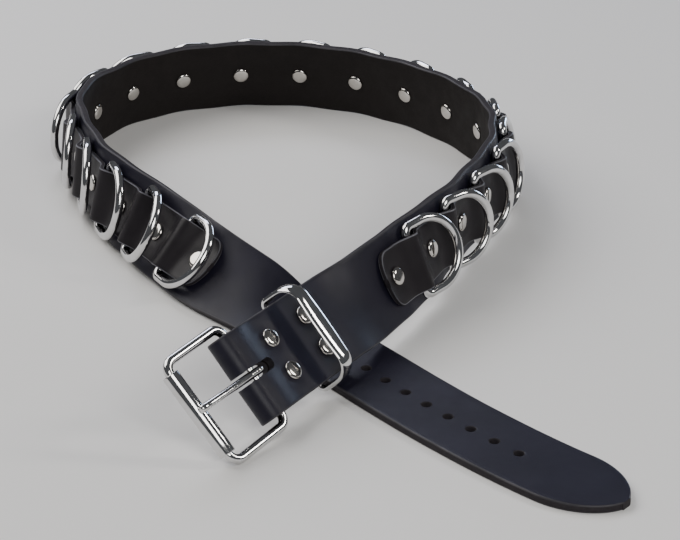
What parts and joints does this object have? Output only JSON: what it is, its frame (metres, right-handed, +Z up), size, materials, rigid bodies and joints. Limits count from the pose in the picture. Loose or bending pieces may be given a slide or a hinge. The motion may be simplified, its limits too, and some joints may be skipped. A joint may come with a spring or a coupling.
{
  "type": "belt",
  "caption": "Leather belt lying as a loop on its edge, D-rings hinged under a riveted outer strap, roller buckle at one end and a flat punched tip at the other",
  "frame": {"origin": "on the surface that the belt lies on, under the middle of its bounding box", "axes": "X to the right and Y away from a viewer who stands at the crossed ends, Z up; Y is the longest extent"},
  "size_m": [0.2932, 0.493, 0.0535],
  "materials": {
    "leather": "smooth black leather with a soft sheen on the grain side and grey cut edges",
    "overlay_leather": "smooth black leather, softer than the base strap",
    "chrome": "bright polished plating",
    "nickel": "bright nickel plating on domed rivet caps"
  },
  "bodies": {
    "straps": {"base_strap": "leather", "overlay_strap": "overlay_leather", "rivet_01": "nickel", "rivet_02": "nickel", "rivet_03": "nickel", "rivet_04": "nickel", "rivet_05": "nickel", "rivet_06": "nickel", "rivet_07": "nickel", "rivet_08": "nickel", "rivet_09": "nickel", "rivet_10": "nickel", "rivet_11": "nickel", "rivet_12": "nickel", "rivet_13": "nickel", "rivet_14": "nickel", "rivet_15": "nickel", "rivet_16": "nickel", "rivet_17": "nickel", "rivet_18": "nickel", "rivet_19": "nickel", "rivet_20": "nickel", "rivet_21": "nickel", "buckle_rivet_1": "nickel", "buckle_rivet_2": "nickel", "buckle_rivet_3": "nickel", "buckle_rivet_4": "nickel"},
    "ring_01": {"ring_01": "chrome"},
    "ring_02": {"ring_02": "chrome"},
    "ring_03": {"ring_03": "chrome"},
    "ring_04": {"ring_04": "chrome"},
    "ring_05": {"ring_05": "chrome"},
    "ring_06": {"ring_06": "chrome"},
    "ring_07": {"ring_07": "chrome"},
    "ring_08": {"ring_08": "chrome"},
    "ring_09": {"ring_09": "chrome"},
    "ring_10": {"ring_10": "chrome"},
    "ring_11": {"ring_11": "chrome"},
    "ring_12": {"ring_12": "chrome"},
    "ring_13": {"ring_13": "chrome"},
    "ring_14": {"ring_14": "chrome"},
    "ring_15": {"ring_15": "chrome"},
    "ring_16": {"ring_16": "chrome"},
    "ring_17": {"ring_17": "chrome"},
    "ring_18": {"ring_18": "chrome"},
    "ring_19": {"ring_19": "chrome"},
    "ring_20": {"ring_20": "chrome"},
    "keeper": {"keeper_loop": "chrome"},
    "frame": {"buckle_frame": "chrome"},
    "roller": {"buckle_roller": "chrome"},
    "prong": {"buckle_prong": "chrome"}
  },
  "joints": [
    {"name": "ring_01_hinge", "type": "hinge", "parent": "straps", "child": "ring_01", "pos_m": [0.05718, -0.05329, 0.02917], "axis": [0.3242, -0.1559, -0.933], "range_deg": [0, 110]},
    {"name": "ring_02_hinge", "type": "hinge", "parent": "straps", "child": "ring_02", "pos_m": [0.07468, -0.02088, 0.02924], "axis": [0.1331, -0.0467, -0.99], "range_deg": [0, 106]},
    {"name": "ring_03_hinge", "type": "hinge", "parent": "straps", "child": "ring_03", "pos_m": [0.09037, 0.01241, 0.02909], "axis": [0.0691, -0.0306, -0.9971], "range_deg": [0, 111]},
    {"name": "ring_04_hinge", "type": "hinge", "parent": "straps", "child": "ring_04", "pos_m": [0.10467, 0.04643, 0.02921], "axis": [0.1034, -0.0614, -0.9927], "range_deg": [0, 122]},
    {"name": "ring_05_hinge", "type": "hinge", "parent": "straps", "child": "ring_05", "pos_m": [0.1123, 0.08352, 0.02776], "axis": [0.2026, -0.076, -0.9763], "range_deg": [0, 124]},
    {"name": "ring_06_hinge", "type": "hinge", "parent": "straps", "child": "ring_06", "pos_m": [0.10949, 0.12088, 0.02399], "axis": [0.0943, -0.0248, -0.9952], "range_deg": [0, 123]},
    {"name": "ring_07_hinge", "type": "hinge", "parent": "straps", "child": "ring_07", "pos_m": [0.09698, 0.15649, 0.02294], "axis": [0.0936, 0.0282, -0.9952], "range_deg": [0, 122]},
    {"name": "ring_08_hinge", "type": "hinge", "parent": "straps", "child": "ring_08", "pos_m": [0.07558, 0.18747, 0.02295], "axis": [0.1025, 0.0877, -0.9909], "range_deg": [0, 121]},
    {"name": "ring_09_hinge", "type": "hinge", "parent": "straps", "child": "ring_09", "pos_m": [0.0476, 0.21259, 0.02313], "axis": [0.1124, 0.1577, -0.9811], "range_deg": [0, 121]},
    {"name": "ring_10_hinge", "type": "hinge", "parent": "straps", "child": "ring_10", "pos_m": [0.01405, 0.22989, 0.02316], "axis": [0.0688, 0.1959, -0.9782], "range_deg": [0, 121]},
    {"name": "ring_11_hinge", "type": "hinge", "parent": "straps", "child": "ring_11", "pos_m": [-0.02311, 0.23698, 0.02316], "axis": [0.0076, 0.2078, -0.9781], "range_deg": [0, 121]},
    {"name": "ring_12_hinge", "type": "hinge", "parent": "straps", "child": "ring_12", "pos_m": [-0.06071, 0.23254, 0.02314], "axis": [-0.0551, 0.1946, -0.9793], "range_deg": [0, 121]},
    {"name": "ring_13_hinge", "type": "hinge", "parent": "straps", "child": "ring_13", "pos_m": [-0.09519, 0.21653, 0.02311], "axis": [-0.1088, 0.1516, -0.9824], "range_deg": [0, 121]},
    {"name": "ring_14_hinge", "type": "hinge", "parent": "straps", "child": "ring_14", "pos_m": [-0.12101, 0.18835, 0.02303], "axis": [-0.1376, 0.0779, -0.9874], "range_deg": [0, 121]},
    {"name": "ring_15_hinge", "type": "hinge", "parent": "straps", "child": "ring_15", "pos_m": [-0.1346, 0.15275, 0.02267], "axis": [-0.0695, 0.0122, -0.9975], "range_deg": [0, 121]},
    {"name": "ring_16_hinge", "type": "hinge", "parent": "straps", "child": "ring_16", "pos_m": [-0.1327, 0.1146, 0.02283], "axis": [-0.1022, -0.0235, -0.9945], "range_deg": [0, 117]},
    {"name": "ring_17_hinge", "type": "hinge", "parent": "straps", "child": "ring_17", "pos_m": [-0.12241, 0.07903, 0.02293], "axis": [-0.1227, -0.0402, -0.9916], "range_deg": [0, 118]},
    {"name": "ring_18_hinge", "type": "hinge", "parent": "straps", "child": "ring_18", "pos_m": [-0.10792, 0.0446, 0.02322], "axis": [-0.2362, -0.1001, -0.9665], "range_deg": [0, 120]},
    {"name": "ring_19_hinge", "type": "hinge", "parent": "straps", "child": "ring_19", "pos_m": [-0.08765, 0.01347, 0.02279], "axis": [-0.412, -0.2303, -0.8816], "range_deg": [0, 109]},
    {"name": "ring_20_hinge", "type": "hinge", "parent": "straps", "child": "ring_20", "pos_m": [-0.06566, -0.01604, 0.02108], "axis": [-0.5729, -0.342, -0.7449], "range_deg": [0, 118]},
    {"name": "keeper_hinge", "type": "hinge", "parent": "straps", "child": "keeper", "pos_m": [-0.00288, -0.13588, 0.02418], "axis": [0.572, -0.3714, -0.7314], "range_deg": [-23, 40]},
    {"name": "buckle_hinge", "type": "hinge", "parent": "straps", "child": "frame", "pos_m": [-0.02103, -0.16618, 0.02537], "axis": [-0.5904, 0.3472, 0.7287], "range_deg": [-30, 35]},
    {"name": "roller_spin", "type": "hinge", "parent": "frame", "child": "roller", "pos_m": [-0.04386, -0.19695, 0.02154], "axis": [-0.5904, 0.3472, 0.7287], "continuous": true},
    {"name": "prong_hinge", "type": "hinge", "parent": "frame", "child": "prong", "pos_m": [-0.02103, -0.16618, 0.02537], "axis": [-0.5904, 0.3472, 0.7287], "range_deg": [0, 60]}
  ]
}
